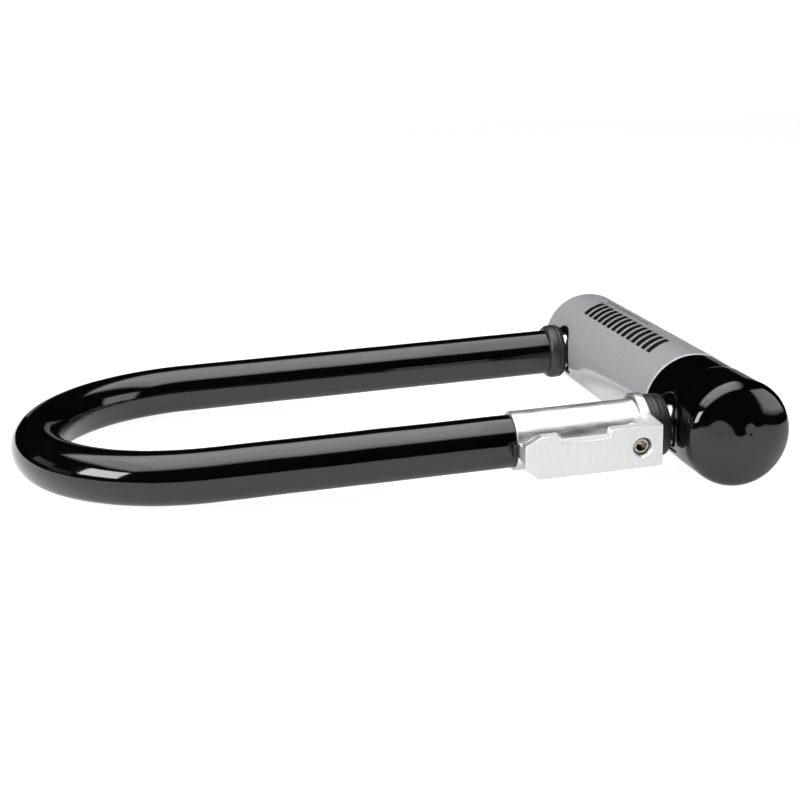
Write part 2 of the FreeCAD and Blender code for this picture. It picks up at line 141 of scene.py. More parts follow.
def rounded(points):
    """Polygon points (x, y, corner radius) to a point list with arcs at the corners."""
    out = []
    n = len(points)
    for i in range(n):
        px, py, r = points[i]
        ax, ay, _ = points[i - 1]
        bx, by, _ = points[(i + 1) % n]
        va = Vector((ax - px, ay - py)).normalized()
        vb = Vector((bx - px, by - py)).normalized()
        ang = va.angle(vb)
        if r <= 0 or ang > 3.1:
            out.append((px, py))
            continue
        d = r / math.tan(ang / 2)
        s, e = Vector((px, py)) + va * d, Vector((px, py)) + vb * d
        mid = (va + vb).normalized()
        c = Vector((px, py)) + mid * (r / math.sin(ang / 2))
        a0, a1 = math.atan2(*(s - c).yx), math.atan2(*(e - c).yx)
        while a1 - a0 > math.pi:
            a1 -= 2 * math.pi
        while a1 - a0 < -math.pi:
            a1 += 2 * math.pi
        k = 5
        for j in range(k + 1):
            t = a0 + (a1 - a0) * j / k
            out.append((c.x + r * math.cos(t), c.y + r * math.sin(t)))
    return out


def slab(name, outline, y0, y1, edge=0.2):
    """An (x, z) outline between two y values, its rims rounded."""
    n = len(outline)
    verts = [(x, y0, z) for x, z in outline] + [(x, y1, z) for x, z in outline]
    faces = [tuple(range(n)), tuple(range(2 * n - 1, n - 1, -1))]
    faces += [(i, (i + 1) % n, n + (i + 1) % n, n + i) for i in range(n)]
    o = raw(name, verts, faces)
    bm = bmesh.new()
    bm.from_mesh(o.data)
    bmesh.ops.recalc_face_normals(bm, faces=bm.faces)
    if edge > 0:
        rims = [e for e in bm.edges if abs(e.verts[0].co.y - e.verts[1].co.y) < 1e-6]
        bmesh.ops.bevel(bm, geom=rims, offset=edge, segments=3, profile=0.5, affect="EDGES", clamp_overlap=True)
    bm.to_mesh(o.data)
    bm.free()
    return o


def finish(o, body, material, replaces=(), matrix=None, sharp=38.0, planes=False):
    """Local millimetres to the row frame, smooth shading, material, body. With planes, faces square to an axis stay flat."""
    me = o.data
    smooth = [not (planes and max(abs(c) for c in f.normal) > 0.99995) for f in me.polygons]
    me.transform(TO_ROW @ matrix if matrix is not None else TO_ROW)
    me.set_sharp_from_angle(angle=math.radians(sharp))
    me.polygons.foreach_set("use_smooth", smooth)
    me.materials.clear()
    me.materials.append(material)
    me.update()
    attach(o, body)
    if replaces:
        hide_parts(*replaces)
    return o


# ---------------------------------------------------------------------------
# materials
# ---------------------------------------------------------------------------
def material(name, color, rough, metal=0.0, ior=1.5, coat=0.0, coat_rough=0.05):
    m = bpy.data.materials.new(name)
    m.use_nodes = True
    nt = m.node_tree
    b = nt.nodes["Principled BSDF"]
    b.inputs["Base Color"].default_value = (*color, 1)
    b.inputs["Roughness"].default_value = rough
    b.inputs["Metallic"].default_value = metal
    b.inputs["IOR"].default_value = ior
    b.inputs["Coat Weight"].default_value = coat
    b.inputs["Coat Roughness"].default_value = coat_rough
    return m, nt, b


def coords(nt, scale=(1, 1, 1), turn=0.0):
    c = nt.nodes.new("ShaderNodeTexCoord")
    mp = nt.nodes.new("ShaderNodeMapping")
    mp.inputs["Scale"].default_value = scale
    mp.inputs["Rotation"].default_value = (0, turn, 0)
    nt.links.new(c.outputs["Object"], mp.inputs["Vector"])
    return mp.outputs["Vector"]


def noise_tex(nt, vec, scale, detail=3.0, rough=0.5, distort=0.0):
    n = nt.nodes.new("ShaderNodeTexNoise")
    n.inputs["Scale"].default_value = scale
    n.inputs["Detail"].default_value = detail
    n.inputs["Roughness"].default_value = rough
    n.inputs["Distortion"].default_value = distort
    nt.links.new(vec, n.inputs["Vector"])
    return n.outputs["Fac"]


def ramp(nt, fac, stops):
    r = nt.nodes.new("ShaderNodeValToRGB")
    cr = r.color_ramp
    while len(cr.elements) < len(stops):
        cr.elements.new(0.5)
    for e, (p, c) in zip(cr.elements, stops):
        e.position = p
        e.color = (*c, 1) if isinstance(c, tuple) else (c, c, c, 1)
    nt.links.new(fac, r.inputs["Fac"])
    return r.outputs["Color"]


def bump(nt, height, strength, distance, normal=None):
    b = nt.nodes.new("ShaderNodeBump")
    b.inputs["Strength"].default_value = strength
    b.inputs["Distance"].default_value = distance
    nt.links.new(height, b.inputs["Height"])
    if normal is not None:
        nt.links.new(normal, b.inputs["Normal"])
    return b.outputs["Normal"]


def vinyl(name, color=(0.0012, 0.0012, 0.0013), rough0=0.05, rough1=0.11, scale=900.0, micro=0.000012):
    m, nt, b = material(name, color, 0.07)
    v = coords(nt)
    f = noise_tex(nt, v, scale, 4.0, 0.6)
    nt.links.new(ramp(nt, f, [(0.35, rough0), (0.75, rough1)]), b.inputs["Roughness"])
    big = noise_tex(nt, v, 60.0, 2.0)
    nt.links.new(ramp(nt, big, [(0.35, tuple(c * 0.85 for c in color)), (0.7, tuple(c * 1.2 for c in color))]), b.inputs["Base Color"])
    nt.links.new(bump(nt, noise_tex(nt, v, 650.0, 3.0), 0.25, micro), b.inputs["Normal"])
    return m


def grey_plastic():
    m, nt, b = material("grey_cover_satin", (0.36, 0.365, 0.38), 0.3)
    v = coords(nt)
    grain = noise_tex(nt, v, 2600.0, 2.0, 0.6)
    cloud = noise_tex(nt, v, 120.0, 3.0, 0.6)
    mix = nt.nodes.new("ShaderNodeMix")
    mix.data_type = "RGBA"
    mix.blend_type = "MULTIPLY"
    mix.inputs["Factor"].default_value = 1.0
    nt.links.new(ramp(nt, grain, [(0.3, (0.213, 0.215, 0.222)), (0.7, (0.285, 0.287, 0.294))]), mix.inputs["A"])
    nt.links.new(ramp(nt, cloud, [(0.3, 0.95), (0.7, 1.0)]), mix.inputs["B"])
    nt.links.new(mix.outputs["Result"], b.inputs["Base Color"])
    nt.links.new(ramp(nt, grain, [(0.3, 0.12), (0.7, 0.19)]), b.inputs["Roughness"])
    nt.links.new(bump(nt, grain, 0.15, 0.00001), b.inputs["Normal"])
    return m


def rubber(name, lo=0.012, hi=0.024):
    m, nt, b = material(name, (0.04, 0.04, 0.042), 0.5)
    v = coords(nt)
    f = noise_tex(nt, v, 1500.0, 4.0, 0.65)
    g = noise_tex(nt, v, 250.0, 3.0, 0.6)
    nt.links.new(ramp(nt, g, [(0.3, (lo, lo, lo * 1.03)), (0.7, (hi, hi, hi * 1.03))]), b.inputs["Base Color"])
    nt.links.new(ramp(nt, f, [(0.3, 0.34), (0.7, 0.5)]), b.inputs["Roughness"])
    nt.links.new(bump(nt, f, 0.4, 0.00003), b.inputs["Normal"])
    return m


def metal(name, color, rough0, rough1, stretch=(1, 1, 1), scale=1500.0, strength=0.2, dist=0.00001, spread=0.12):
    m, nt, b = material(name, color, (rough0 + rough1) / 2, metal=1.0)
    v = coords(nt, stretch, -TILT)
    f = noise_tex(nt, v, scale, 4.0, 0.65)
    g = noise_tex(nt, coords(nt), 180.0, 3.0, 0.6)
    lo = tuple(c * (1 - spread) for c in color)
    nt.links.new(ramp(nt, g, [(0.3, lo), (0.7, color)]), b.inputs["Base Color"])
    nt.links.new(ramp(nt, f, [(0.3, rough0), (0.7, rough1)]), b.inputs["Roughness"])
    nt.links.new(bump(nt, f, strength, dist), b.inputs["Normal"])
    return m


def drawn_aluminium():
    """Round surfaces of the extrusion: die lines along the tube and light mottling."""
    m, nt, b = material("bare_aluminium", (0.66, 0.66, 0.67), 0.34, metal=1.0)
    die = noise_tex(nt, coords(nt, (0.05, 1, 1), -TILT), 2600.0, 3.0, 0.6)
    mottle = noise_tex(nt, coords(nt, (0.22, 1, 1), -TILT), 900.0, 5.0, 0.75, 0.5)
    nt.links.new(ramp(nt, die, [(0.3, (0.54, 0.54, 0.545)), (0.7, (0.85, 0.85, 0.855))]), b.inputs["Base Color"])
    nt.links.new(ramp(nt, mottle, [(0.3, 0.27), (0.7, 0.45)]), b.inputs["Roughness"])
    n1 = bump(nt, mottle, 0.42, 0.00002)
    nt.links.new(bump(nt, die, 0.12, 0.00001, n1), b.inputs["Normal"])
    return m


def milled_aluminium():
    """Flat faces: fine brushed lines."""
    m, nt, b = material("milled_aluminium", (0.62, 0.62, 0.625), 0.55, metal=1.0)
    brush = noise_tex(nt, coords(nt, (1, 1, 0.05), -TILT), 2400.0, 3.0, 0.6)
    nt.links.new(ramp(nt, brush, [(0.3, (0.57, 0.57, 0.575)), (0.65, (0.65, 0.65, 0.655))]), b.inputs["Base Color"])
    nt.links.new(ramp(nt, brush, [(0.3, 0.5), (0.7, 0.6)]), b.inputs["Roughness"])
    nt.links.new(bump(nt, brush, 0.12, 0.00001), b.inputs["Normal"])
    return m


def print_ink():
    m, nt, b = material("print_black", (0.008, 0.008, 0.009), 0.4)
    b.inputs["Specular IOR Level"].default_value = 0.12
    v = coords(nt)
    f = noise_tex(nt, v, 2200.0, 3.0, 0.6)
    nt.links.new(ramp(nt, f, [(0.3, (0.003, 0.003, 0.003)), (0.75, (0.008, 0.008, 0.008))]), b.inputs["Base Color"])
    nt.links.new(ramp(nt, f, [(0.3, 0.3), (0.7, 0.45)]), b.inputs["Roughness"])
    return m


COAT = vinyl("black_vinyl")
COVER_BLACK = vinyl("black_cover", scale=1100.0)
GREY = grey_plastic()
RUBBER = rubber("collar_rubber", 0.006, 0.013)
GROMMET = vinyl("grommet_rubber", (0.0015, 0.0015, 0.0016), 0.12, 0.2, 1400.0, 0.00002)
NYLON = vinyl("black_nylon", (0.004, 0.004, 0.0045), 0.25, 0.42, 1400.0, 0.00003)
STEEL = metal("polished_steel", (0.60, 0.585, 0.57), 0.07, 0.17, (0.15, 1, 1), 1300.0, 0.12)
SCREW = metal("screw_steel", (0.36, 0.33, 0.30), 0.14, 0.28, (1, 1, 1), 1800.0, 0.25)
HARD = metal("hardened_steel", (0.42, 0.42, 0.43), 0.26, 0.42, (1, 0.12, 1), 1200.0)
ALU = drawn_aluminium()
MILLED = milled_aluminium()
ZINC = metal("zinc_casting", (0.46, 0.47, 0.49), 0.42, 0.6, (1, 1, 1), 900.0, 0.5, 0.00004)
BRASS = metal("brass", (0.74, 0.56, 0.27), 0.2, 0.34, (0.2, 1, 1), 1600.0)
INK = print_ink()
BY_SLOT = {"polished_steel": STEEL, "black_vinyl": COAT, "collar_rubber": RUBBER, "bare_aluminium": ALU, "black_nylon": NYLON,
           "screw_steel": SCREW, "hardened_steel": HARD, "grey_cover": GREY, "black_cover": COVER_BLACK, "zinc_casting": ZINC,
           "brass": BRASS}
for row in frame["record"]["subparts"]:
    node = frame["nodes"][row["node"]]
    node.data.materials.clear()
    node.data.materials.append(BY_SLOT[row["material_slot"]])
    node.data.polygons.foreach_set("use_smooth", [True] * len(node.data.polygons))
    split = node.modifiers.new("edges", "EDGE_SPLIT")
    split.split_angle = math.radians(32)


# ---------------------------------------------------------------------------
# shackle
# ---------------------------------------------------------------------------
def u_path(end_x, step=1.6):
    pts = []
    n = int((end_x - LEG_BEND_X) / step)
    for k in range(n + 1):
        pts.append((end_x + (LEG_BEND_X - end_x) * k / n, -HALF, (-1.0, 0.0)))
    m = 110
    for k in range(1, m):
        a = -math.pi / 2 - math.pi * k / m
        pts.append((LEG_BEND_X + HALF * math.cos(a), HALF * math.sin(a), (math.sin(a), -math.cos(a))))
    for k in range(n + 1):
        pts.append((LEG_BEND_X + (end_x - LEG_BEND_X) * k / n, HALF, (1.0, 0.0)))
    return pts


def u_sweep(name, radius, end_x, n, wave=0.0, chamfer=0.0):
    verts, path = [], u_path(end_x - chamfer)
    rings = []
    run, last = 0.0, None
    for x, y, (tx, ty) in path:
        if last is not None:
            run += math.hypot(x - last[0], y - last[1])
        last = (x, y)
        side = Vector((-ty, tx, 0))
        ring = []
        for k in range(n):
            t = 2 * math.pi * k / n
            d = side * math.cos(t) + Vector((0, 0, 1)) * math.sin(t)
            p = Vector((x, y, 0)) + d * radius
            if wave:
                s = noise.noise(p * 0.055 + Vector((3.1, 7.7, 1.9))) + 0.45 * noise.noise(p * 0.13)
                fine = noise.noise(Vector((run * 0.045, 3.4 * math.cos(t), 3.4 * math.sin(t) + 11.0)))
                fine += 0.5 * noise.noise(Vector((run * 0.11, 7.5 * math.cos(t) + 5.0, 7.5 * math.sin(t))))
                fade = min(1.0, abs(x - end_x) / 6.0)
                p = p + d * (wave * s + 0.014 * fine) * fade
            ring.append(tuple(p))
        rings.append(ring)
    if chamfer:
        for at, (x0, s) in ((0, (-HALF, 1)), (len(rings), (HALF, 1))):
            ring = [(end_x, (p[1] - x0) * (radius - chamfer) / radius + x0, p[2] * (radius - chamfer) / radius) for p in (rings[0] if at == 0 else rings[-1])]
            rings.insert(0, ring) if at == 0 else rings.append(ring)
    verts = [p for r in rings for p in r]
    faces = grid_faces(len(rings), n)
    faces.append(tuple(range(n)))
    faces.append(tuple(range(len(verts) - 1, len(verts) - n - 1, -1)))
    return fix_normals(raw(name, verts, faces))


coat = u_sweep("shackle_coat_smooth", COAT_R - 0.02, -18.4, 112, wave=0.07)
finish(coat, "shackle", COAT, ["shackle_vinyl_coat"], sharp=50)

rod = u_sweep("shackle_steel_rod", ROD_R, 9.5, 72, chamfer=0.9)
for side in (-1, 1):
    lo, hi = sorted((side * (HALF - ROD_R - 1.0), side * 47.6))
    notch = slab("notch", [(-8.9, -8), (0.9, -8), (0.9, 8), (-8.9, 8)], lo, hi, 0)
    boolean(rod, notch, "DIFFERENCE")
finish(rod, "shackle", STEEL, ["shackle_rod"], sharp=30)


def near_wobble(a, t):
    return 0.06 * noise.noise(Vector((a * 0.35, 2 * math.cos(t), 2 * math.sin(t))))


def collar(name, y, ribs):
    x0, x1 = (-22.4, -16.55) if ribs else (-23.1, -17.1)
    if ribs:      # a softer, rounder moulding
        prof = [(x0 + 0.12, ROD_R + 0.05), (x0, 8.05), (x0 + 0.08, 8.5), (x0 + 0.3, 8.85), (x0 + 0.65, 9.12), (x0 + 1.1, 9.33),
                (x0 + 1.7, 9.48), (x0 + 2.4, 9.55), (x0 + 3.0, 9.54), (x1 - 2.35, 9.5), (x1 - 2.15, 9.33), (x1 - 1.95, 9.44),
                (x1 - 1.45, 9.36), (x1 - 0.95, 9.22), (x1 - 0.45, 8.96), (x1 - 0.12, 8.56), (x1, 8.1)]
    else:
        prof = [(x0 + 0.1, ROD_R + 0.05), (x0, 8.3), (x0 + 0.05, 8.75)] + arc(x0 + 0.85, 8.75, 0.8, 180, 100, 6)
        prof += [(x0 + 1.7, 9.52), (x0 + 2.5, 9.58), (x0 + 3.05, 9.55), (x0 + 3.2, 9.38), (x0 + 3.35, 9.55)]
        prof += [(x0 + 4.1, 9.5), (x0 + 4.7, 9.36)] + arc(x1 - 1.0, 8.42, 0.95, 75, 0, 7)
    prof += [(x1 - 0.04, 7.6), (x1 - 0.15, 7.2), (x1 - 0.2, ROD_R + 0.05)]

    def wob(a, t):
        w = near_wobble(a, t)
        if ribs:
            f = max(0.0, 1.0 - abs(a - (x1 - 0.95)) / 1.1)
            w += 0.13 * f * (math.cos(t * 88.0) - 0.2)
            g = max(0.0, 1.0 - abs(a - (x0 + 0.5)) / 0.9)
            w += 0.13 * g * math.sin(t * 9.0 + 0.6)
        else:
            g = max(0.0, 1.0 - abs(a - (x0 + 0.5)) / 0.9)
            w += 0.05 * g * math.sin(t * 7.0)
        return w
    dense = []
    for (a0, r0), (a1, r1) in zip(prof[:-1], prof[1:]):
        k = max(1, int(math.hypot(a1 - a0, r1 - r0) / 0.3))
        dense += [(a0 + (a1 - a0) * i / k, r0 + (r1 - r0) * i / k) for i in range(k)]
    dense.append(prof[-1])
    o = revolve(name, dense, 528 if ribs else 128, "X", (0, y, 0), closed=True, wobble=wob)
    return o


finish(collar("near_collar_moulded", -HALF, False), "shackle", RUBBER, ["near_leg_collar"], sharp=50)
finish(collar("far_collar_moulded", HALF, True), "shackle", RUBBER, ["far_leg_collar"], sharp=50)


# ---------------------------------------------------------------------------
# crossbar covers: a revolved wall with round holes let into its side
# ---------------------------------------------------------------------------
def cover(name, profile, n, holes, thickness, centre_wave=None):
    """profile: (y, radius), the outer wall from one end to the pole. holes: (y, side, hole radius, lip radius).
    The grid is opened over a rectangle at each hole and filled with a polar patch that ends in a rounded lip."""
    ys = [p[0] for p in profile]

    def radius_at(y):
        for (a, ra), (b, rb) in zip(profile[:-1], profile[1:]):
            if min(a, b) - 1e-9 <= y <= max(a, b) + 1e-9 and abs(b - a) > 1e-9:
                return ra + (rb - ra) * (y - a) / (b - a)
        return profile[0][1]
    rows = len(profile)
    verts = []
    for y, r in profile:
        for k in range(n):
            t = 2 * math.pi * k / n                      # t=0 at +X, pi at -X
            verts.append((r * math.cos(t), y, r * math.sin(t)))
    skip = set()
    faces = []
    for hy, side, hr, lip in holes:
        w = hr + lip + 0.9
        i0 = max(i for i in range(rows) if (ys[i] - (hy - w)) * (1 if ys[-1] > ys[0] else -1) <= 0 or i == 0) if ys[-1] > ys[0] else max(i for i in range(rows) if ys[i] >= hy + w)
        i1 = min(i for i in range(rows) if (ys[i] >= hy + w if ys[-1] > ys[0] else ys[i] <= hy - w))
        half = int(math.ceil(math.asin(min(0.98, w / BAR_R)) / (2 * math.pi / n)))
        mid = n // 2 if side < 0 else 0
        j0, j1 = mid - half, mid + half
        for i in range(i0, i1):
            for j in range(j0, j1):
                skip.add((i, j % n))
        loop = [(i0, j) for j in range(j0, j1)] + [(i, j1) for i in range(i0, i1)]
        loop += [(i1, j) for j in range(j1, j0, -1)] + [(i, j0) for i in range(i1, i0, -1)]
        outer = [i * n + (j % n) for i, j in loop]
        m = len(outer)
        # direction of each spoke around the hole, in unrolled coordinates
        ang = []
        for (i, j) in loop:
            s = BAR_R * (j - mid) * 2 * math.pi / n
            ang.append(math.atan2(s, ys[i] - hy))
        un = []
        for (i, j) in loop:
            un.append((ys[i], BAR_R * (j - mid) * 2 * math.pi / n))
        prev = outer
        rings = []
        steps = 5
        edge = []
        for a in ang:
            yy, zz = hy + (hr + lip) * math.cos(a), (hr + lip) * math.sin(a)
            edge.append((yy, BAR_R * math.asin(max(-0.999, min(0.999, zz / BAR_R)))))
        for q in range(1, steps + 1):
            f = q / steps
            f = 1 - (1 - f) ** 1.4
            ring = []
            for (uy, us), (ey, es) in zip(un, edge):
                y_, s_ = uy + (ey - uy) * f, us + (es - us) * f
                r_ = radius_at(y_)
                t_ = s_ / BAR_R
                sx = -1 if side < 0 else 1
                ring.append((sx * r_ * math.cos(t_), y_, (-1 if side < 0 else 1) * r_ * math.sin(t_)))
            rings.append(ring)
        # rounded lip, then the wall down to the inner face
        for q in range(1, 7):
            t = math.pi / 2 * q / 6
            rr, dep = hr + lip * (1 - math.sin(t)), lip * (1 - math.cos(t))
            ring = []
            for a in ang:
                yy, zz = hy + rr * math.cos(a), rr * math.sin(a)
                r_ = radius_at(yy)
                sx = -1 if side < 0 else 1
                ring.append((sx * (math.sqrt(max(0.01, r_ * r_ - zz * zz)) - dep), yy, (-1 if side < 0 else 1) * zz))
            rings.append(ring)
        ring = []
        for a in ang:
            yy, zz = hy + hr * math.cos(a), hr * math.sin(a)
            r_ = radius_at(yy) - thickness
            sx = -1 if side < 0 else 1
            ring.append((sx * math.sqrt(max(0.01, r_ * r_ - zz * zz)), yy, (-1 if side < 0 else 1) * zz))
        rings.append(ring)
        for ring in rings:
            base = len(verts)
            verts.extend(ring)
            cur = list(range(base, base + m))
            for k in range(m):
                faces.append((prev[k], prev[(k + 1) % m], cur[(k + 1) % m], cur[k]))
            prev = cur
    for i in range(rows - 1):
        for j in range(n):
            if (i, j) in skip:
                continue
            faces.append((i * n + j, i * n + (j + 1) % n, (i + 1) * n + (j + 1) % n, (i + 1) * n + j))
    o = raw(name, verts, faces)
    bm = bmesh.new()
    bm.from_mesh(o.data)
    bmesh.ops.remove_doubles(bm, verts=bm.verts, dist=1e-4)
    bmesh.ops.dissolve_degenerate(bm, dist=1e-4, edges=bm.edges)
    bmesh.ops.recalc_face_normals(bm, faces=bm.faces)
    out = sum((f.normal.dot(Vector((f.calc_center_median().x, 0, f.calc_center_median().z))) for f in bm.faces))
    if out < 0:
        bmesh.ops.reverse_faces(bm, faces=bm.faces)
    bm.to_mesh(o.data)
    bm.free()
    return o


def spaced(y0, y1, step):
    k = max(1, int(round(abs(y1 - y0) / step)))
    return [y0 + (y1 - y0) * i / k for i in range(k)]


def head(shoulder_y, r, shoulder_r, crown_r, sign, n1=22, n2=26):
    """Two-arc dome: a shoulder of radius shoulder_r, then a crown of radius crown_r, to the pole."""
    h = math.sqrt((crown_r - shoulder_r) ** 2 - (r - shoulder_r) ** 2)
    a0 = math.atan2(r - shoulder_r, h)          # polar angle where the crown meets the shoulder
    out = []
    for k in range(1, n1 + 1):
        t = (math.pi / 2 - a0) * k / n1
        out.append((shoulder_y + sign * shoulder_r * math.sin(t), r - shoulder_r + shoulder_r * math.cos(t)))
    for k in range(1, n2 + 1):
        a = a0 * (1 - k / n2)
        out.append((shoulder_y + sign * (crown_r * math.cos(a) - h), crown_r * math.sin(a)))
    return out


SEAM_Y = -33.0
NEAR_SHOULDER_Y, FAR_SHOULDER_Y = -64.5, 65.3
SHOULDER_R, CROWN_R = 5.5, 24.0
y0 = SEAM_Y + 0.15
grey_profile = [(y0, 14.9), (y0, BAR_R - 0.55)] + [(y0 + 0.45 * (1 - math.cos(t)), BAR_R - 0.55 + 0.55 * math.sin(t)) for t in (0.3, 0.6, 0.9, 1.2, math.pi / 2)]
grey_profile += [(y, BAR_R) for y in spaced(y0 + 0.8, FAR_SHOULDER_Y, 1.15)] + [(FAR_SHOULDER_Y, BAR_R)]
grey_profile += head(FAR_SHOULDER_Y, BAR_R, SHOULDER_R, CROWN_R, 1)
grey_cover = cover("grey_cover_shell", grey_profile, 144, [(HALF, -1, 8.75, 0.35), (0.0, 1, 10.05, 0.35)], 1.35)
finish(grey_cover, "crossbar", GREY, ["crossbar_grey_cover"], sharp=50)
# painted highlight: the grey cover's rim at the seam gets a much lighter grey than the cover, standing in for the edge
# catching the light
SEAM_HIGHLIGHT_PAINT, _nt, _b = material("cover_seam_painted_highlight", (0.78, 0.78, 0.79), 0.3)
_f = noise_tex(_nt, coords(_nt), 900.0, 3.0)
_nt.links.new(ramp(_nt, _f, [(0.3, (0.55, 0.55, 0.56)), (0.7, (0.72, 0.72, 0.73))]), _b.inputs["Base Color"])
grey_cover.data.materials.append(SEAM_HIGHLIGHT_PAINT)
seam_highlight_y = (TO_ROW @ Vector((0, SEAM_Y + 0.36, 0))).y
# the faces at the seam rim take the painted highlight
for f in grey_cover.data.polygons:
    if f.center.y < seam_highlight_y:
        f.material_index = 1

y0 = SEAM_Y - 0.15
NEAR_R = BAR_R
black_profile = [(y0, 14.9), (y0, 15.6)] + [(y0 - 0.5 * (1 - math.cos(t)), 15.6 + 0.5 * math.sin(t)) for t in (0.3, 0.6, 0.9, 1.2, math.pi / 2)]
black_profile += [(y, 16.1) for y in spaced(y0 - 0.9, -48.9, 1.15)]
black_profile += [(-48.9, 16.1), (-49.1, 16.105), (-49.35, 16.125), (-49.6, 16.165), (-49.85, 16.2), (-50.1, 16.225), (-50.4, 16.245), (-50.8, 16.25)]
black_profile += [(y, NEAR_R) for y in spaced(-51.6, NEAR_SHOULDER_Y, 1.1)] + [(NEAR_SHOULDER_Y, NEAR_R)]
black_profile += head(NEAR_SHOULDER_Y, NEAR_R, SHOULDER_R, CROWN_R, -1, 30, 60)
black_cover = cover("black_cover_shell", black_profile, 144, [(-HALF, -1, 9.1, 0.4)], 1.25)

# the dipped end is uneven: shallow sags (place x, z, spread, height along -Y) fading out at the shoulder
SAGS = [(1.5, -2.1, 7.3, -1.08), (5.7, 5.6, 6.0, -1.04), (-2.6, 9.1, 2.9, -0.39), (-8.1, 3.6, 2.2, -0.41),
        (-9.5, -2.8, 12.8, -0.92), (-2.2, 0.3, 1.6, 0.39), (1.5, 2.2, 1.0, -0.2), (3.2, 3.0, 1.0, 0.2)]
for v in black_cover.data.vertices:
    if v.co.y < NEAR_SHOULDER_Y + 2.0:
        sag = sum(h * math.exp(-((v.co.x - u) ** 2 + (v.co.z - w) ** 2) / (2 * s * s)) for u, w, s, h in SAGS)
        v.co.y -= (0.85 * sag + 0.75) * min(1.0, (NEAR_SHOULDER_Y + 2.0 - v.co.y) / 6.0)
finish(black_cover, "crossbar", COVER_BLACK, ["crossbar_black_end_cover"], sharp=50)


def grommet(name, y, r_out):
    prof = [(-14.9, r_out), (-15.45, r_out)] + arc(-15.45, r_out - 0.25, 0.25, 90, 170, 4)
    prof = [(-12.0, r_out), (-15.3, r_out), (-15.52, r_out - 0.1), (-15.6, r_out - 0.3), (-15.6, 7.75), (-15.52, 7.52), (-15.3, 7.4), (-12.0, 7.35)]
    o = revolve(name, prof, 96, "X", (0, y, 0), closed=True)
    keep = revolve("keep", [(y - 14, 0.0), (y - 14, 15.66), (y + 14, 15.66), (y + 14, 0.0)], 128, "Y")
    boolean(o, keep, "INTERSECT")
    inner = revolve("inner", [(y - 14, 0.0), (y - 14, 14.82), (y + 14, 14.82), (y + 14, 0.0)], 128, "Y")
    boolean(o, inner, "DIFFERENCE")
    return o


finish(grommet("near_grommet_ring", -HALF, 9.06), "crossbar", GROMMET, ["near_foot_grommet"], sharp=40)
finish(grommet("far_grommet_ring", HALF, 8.71), "crossbar", GROMMET, ["far_foot_grommet"], sharp=40)


# print: plain slanted bars and a dashed line, without letters
def bar_strip(cells):
    verts, faces = [], []
    rr = BAR_R + 0.02
    for (ya, yb, shift, d0, d1) in cells:
        n = 14
        base = len(verts)
        for k in range(n + 1):
            f = k / n
            t = math.radians(d0 + (d1 - d0) * f)          # angle from -X over +Z
            for yy in (ya, yb):
                verts.append((-rr * math.cos(t), yy + shift * f, rr * math.sin(t)))
        for k in range(n):
            a = base + 2 * k
            faces.append((a, a + 1, a + 3, a + 2))
    o = raw("print_bars", verts, faces)
    bm = bmesh.new()
    bm.from_mesh(o.data)
    for f in bm.faces:
        c = f.calc_center_median()
        if f.normal.dot(Vector((c.x, 0, c.z))) < 0:
            f.normal_flip()
    bm.to_mesh(o.data)
    bm.free()
    return o


cells = []
y = -18.0
while y < 43.5:
    cells.append((y, y + 3.0, 3.4, 59.0, 90.0))
    y += 4.6
y = 11.0
while y < 49.0:
    cells.append((y, y + 1.5, 0.35, 99.5, 102.2))
    y += 2.1
finish(bar_strip(cells), "crossbar", INK)

# ---------------------------------------------------------------------------
# keyway surround and lid
# ---------------------------------------------------------------------------
prof = [(11.3, 9.95), (17.2, 9.95), (17.2, 5.75), (15.6, 5.75), (15.3, 5.45), (14.87, 5.4), (14.86, 6.08), (11.3, 6.08)]
bezel = revolve("keyway_surround", prof, 128, "X", closed=True)
rim = revolve("rim", [(-14, 0.0), (-14, 16.33), (14, 16.33), (14, 0.0)], 256, "Y")
boolean(bezel, rim, "INTERSECT")
inner = revolve("inner", [(-14, 0.0), (-14, 14.83), (14, 14.83), (14, 0.0)], 160, "Y")
boolean(bezel, inner, "DIFFERENCE")
finish(bezel, "crossbar", NYLON, ["keyway_bezel"], sharp=40)

lid = revolve("keyway_lid_disc", [(13.27, 0.0), (13.27, 5.9), (13.37, 6.0), (14.65, 6.0), (14.75, 5.9), (14.75, 5.32), (14.98, 5.3), (15.1, 5.15), (15.1, 0.0)], 128, "X")
for outline, depth0 in (([(-3.9, -1.3, 0.9), (3.9, -1.3, 0.9), (3.9, 1.3, 0.9), (-3.9, 1.3, 0.9)], 12.5),
                        ([(-2.6, 3.1, 0.4), (2.6, 3.1, 0.4), (2.6, 4.2, 0.4), (-2.6, 4.2, 0.4)], 14.4),
                        ([(-2.6, -4.2, 0.4), (2.6, -4.2, 0.4), (2.6, -3.1, 0.4), (-2.6, -3.1, 0.4)], 14.4)):
    pts = rounded(outline)
    nn = len(pts)
    cutter = raw("slot", [(depth0, a, b) for a, b in pts] + [(18.0, a, b) for a, b in pts],
                 [tuple(range(nn)), tuple(range(2 * nn - 1, nn - 1, -1))] + [(i, (i + 1) % nn, nn + (i + 1) % nn, nn + i) for i in range(nn)])
    fix_normals(cutter)
    boolean(lid, cutter, "DIFFERENCE")
finish(lid, "keyway_lid", NYLON, ["keyway_lid"], sharp=35)

# ---------------------------------------------------------------------------
# carriage on the near leg (in the leg's own axes, then swivelled)
# ---------------------------------------------------------------------------
CX0, CX1, FX0 = -64.4, -23.3, -26.5
FACE, THICK, PH = 16.9, 3.3, 6.4
SX = -29.5

